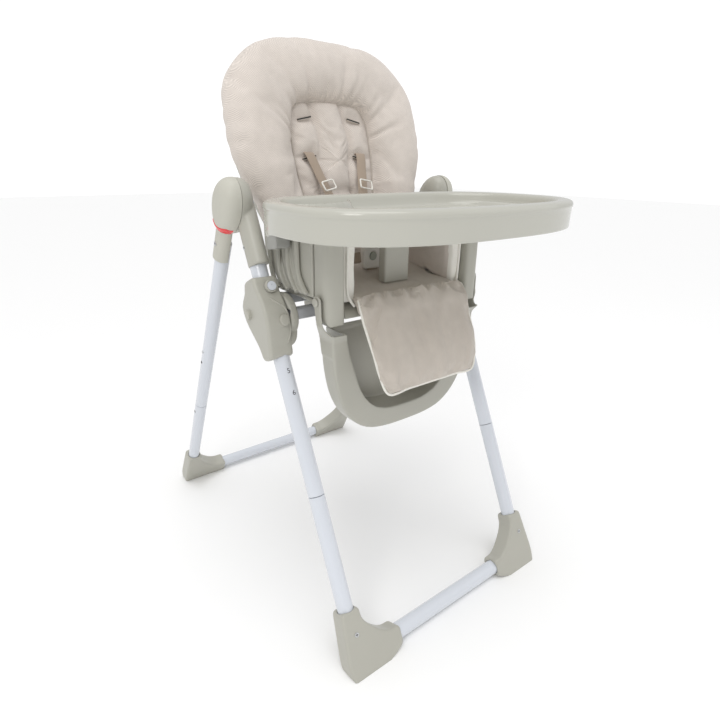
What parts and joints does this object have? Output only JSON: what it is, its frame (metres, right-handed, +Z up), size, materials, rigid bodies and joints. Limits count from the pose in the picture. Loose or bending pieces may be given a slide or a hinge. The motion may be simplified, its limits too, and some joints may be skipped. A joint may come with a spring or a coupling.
{
  "type": "baby_high_chair",
  "caption": "Folding baby high chair with a padded reclining seat that slides up and down its A-frame, a swinging legrest, a removable tray and a harness",
  "frame": {"origin": "on the floor, under the centre of the whole chair", "axes": "+Z up, -Y is the front where the child faces, -X is the child's right-hand side"},
  "size_m": [0.586, 0.853, 1.0762],
  "materials": {
    "frame_paint": "gloss white powder coat with a faint blue tint",
    "bar_paint": "satin mid-grey coat",
    "grey_plastic": "mid-grey moulded plastic",
    "shell_plastic": "warm light grey moulded polypropylene, satin",
    "tray_plastic": "warm light grey moulded plastic, polished",
    "red_button": "saturated red moulded plastic",
    "seat_fabric": "beige fine-textured coated cloth, piped edges",
    "webbing": "taupe woven webbing",
    "harness_plastic": "cream-white moulded acetal",
    "steel": "plain zinc-plated steel"
  },
  "bodies": {
    "front_frame": {"front_base_tube": "frame_paint", "front_leg_tube_right": "frame_paint", "front_leg_tube_left": "frame_paint", "front_foot_right": "shell_plastic", "front_foot_left": "shell_plastic", "front_hub_right": "shell_plastic", "front_hub_left": "shell_plastic", "hub_bolt_right": "steel", "hub_bolt_left": "steel"},
    "rear_frame": {"rear_base_tube": "frame_paint", "rear_leg_tube_right": "frame_paint", "rear_leg_tube_left": "frame_paint", "rear_foot_right": "shell_plastic", "rear_foot_left": "shell_plastic", "rear_hub_right": "shell_plastic", "rear_hub_left": "shell_plastic", "hub_cap_right": "shell_plastic", "hub_cap_left": "shell_plastic"},
    "fold_button_right": {"fold_button_right": "red_button"},
    "fold_button_left": {"fold_button_left": "red_button"},
    "seat": {"carriage_outer_right": "shell_plastic", "carriage_outer_left": "shell_plastic", "carriage_inner_right": "shell_plastic", "carriage_inner_left": "shell_plastic", "cross_bar_front": "bar_paint", "cross_bar_rear": "bar_paint", "seat_base": "shell_plastic", "recline_axle": "steel", "side_panel_right": "shell_plastic", "side_panel_left": "shell_plastic", "arm_column_right": "shell_plastic", "arm_column_left": "shell_plastic", "legrest_pin_right": "shell_plastic", "legrest_pin_left": "shell_plastic", "seat_cushion": "seat_fabric", "side_cushion_right": "seat_fabric", "side_cushion_left": "seat_fabric", "buckle": "harness_plastic", "crotch_strap": "webbing", "waist_strap_right": "webbing", "waist_strap_left": "webbing"},
    "buckle_button": {"buckle_button": "shell_plastic"},
    "height_latch_right": {"height_latch_right": "red_button", "height_pin_right": "steel"},
    "height_latch_left": {"height_latch_left": "red_button", "height_pin_left": "steel"},
    "backrest": {"back_cushion": "seat_fabric", "backrest_shell": "shell_plastic", "shoulder_strap_right": "webbing", "shoulder_strap_left": "webbing"},
    "recline_lever": {"recline_lever": "shell_plastic"},
    "strap_adjuster_right": {"strap_adjuster_right": "harness_plastic"},
    "strap_adjuster_left": {"strap_adjuster_left": "harness_plastic"},
    "legrest": {"legrest_scoop": "shell_plastic", "legrest_flap": "seat_fabric"},
    "tray": {"tray": "tray_plastic", "crotch_post": "shell_plastic"},
    "tray_latch_right": {"tray_latch_right": "grey_plastic"},
    "tray_latch_left": {"tray_latch_left": "grey_plastic"}
  },
  "joints": [
    {"name": "frame_fold", "type": "hinge", "parent": "front_frame", "child": "rear_frame", "pos_m": [0, -0.0139, 0.79], "axis": [1, 0, 0], "range_deg": [-30, 0]},
    {"name": "fold_button_right_press", "type": "slide", "parent": "rear_frame", "child": "fold_button_right", "axis": [0, -0.4695, 0.8829], "range_m": [0, 0.003], "stiffness_N_per_m": 300},
    {"name": "fold_button_left_press", "type": "slide", "parent": "rear_frame", "child": "fold_button_left", "axis": [0, -0.4695, 0.8829], "range_m": [0, 0.003], "stiffness_N_per_m": 300},
    {"name": "seat_height", "type": "slide", "parent": "front_frame", "child": "seat", "axis": [0, -0.4196, -0.9077], "range_m": [0, 0.2]},
    {"name": "buckle_button_press", "type": "slide", "parent": "seat", "child": "buckle_button", "axis": [0, 1, 0], "range_m": [0, 0.0025], "stiffness_N_per_m": 300},
    {"name": "height_latch_right_pull", "type": "slide", "parent": "seat", "child": "height_latch_right", "axis": [0, 0.9077, -0.4196], "range_m": [0, 0.007], "stiffness_N_per_m": 400},
    {"name": "height_latch_left_pull", "type": "slide", "parent": "seat", "child": "height_latch_left", "axis": [0, 0.9077, -0.4196], "range_m": [0, 0.007], "stiffness_N_per_m": 400},
    {"name": "backrest_recline", "type": "hinge", "parent": "seat", "child": "backrest", "pos_m": [0, 0.0221, 0.62], "axis": [1, 0, 0], "range_deg": [-35, 0]},
    {"name": "recline_lever_pull", "type": "slide", "parent": "backrest", "child": "recline_lever", "axis": [0, 0.2588, 0.9659], "range_m": [0, 0.006], "stiffness_N_per_m": 400},
    {"name": "strap_adjuster_right_slide", "type": "slide", "parent": "backrest", "child": "strap_adjuster_right", "axis": [0.219, -0.5043, -0.8353], "range_m": [-0.02, 0.02]},
    {"name": "strap_adjuster_left_slide", "type": "slide", "parent": "backrest", "child": "strap_adjuster_left", "axis": [-0.219, -0.5043, -0.8353], "range_m": [-0.02, 0.02]},
    {"name": "legrest_raise", "type": "hinge", "parent": "seat", "child": "legrest", "pos_m": [0, -0.1939, 0.64], "axis": [1, 0, 0], "range_deg": [-60, 0]},
    {"name": "tray_slide", "type": "slide", "parent": "seat", "child": "tray", "axis": [0, -1, 0], "range_m": [0, 0.06]},
    {"name": "tray_latch_right_pull", "type": "slide", "parent": "tray", "child": "tray_latch_right", "axis": [-1, 0, 0], "range_m": [0, 0.005], "stiffness_N_per_m": 300},
    {"name": "tray_latch_left_pull", "type": "slide", "parent": "tray", "child": "tray_latch_left", "axis": [1, 0, 0], "range_m": [0, 0.005], "stiffness_N_per_m": 300}
  ]
}
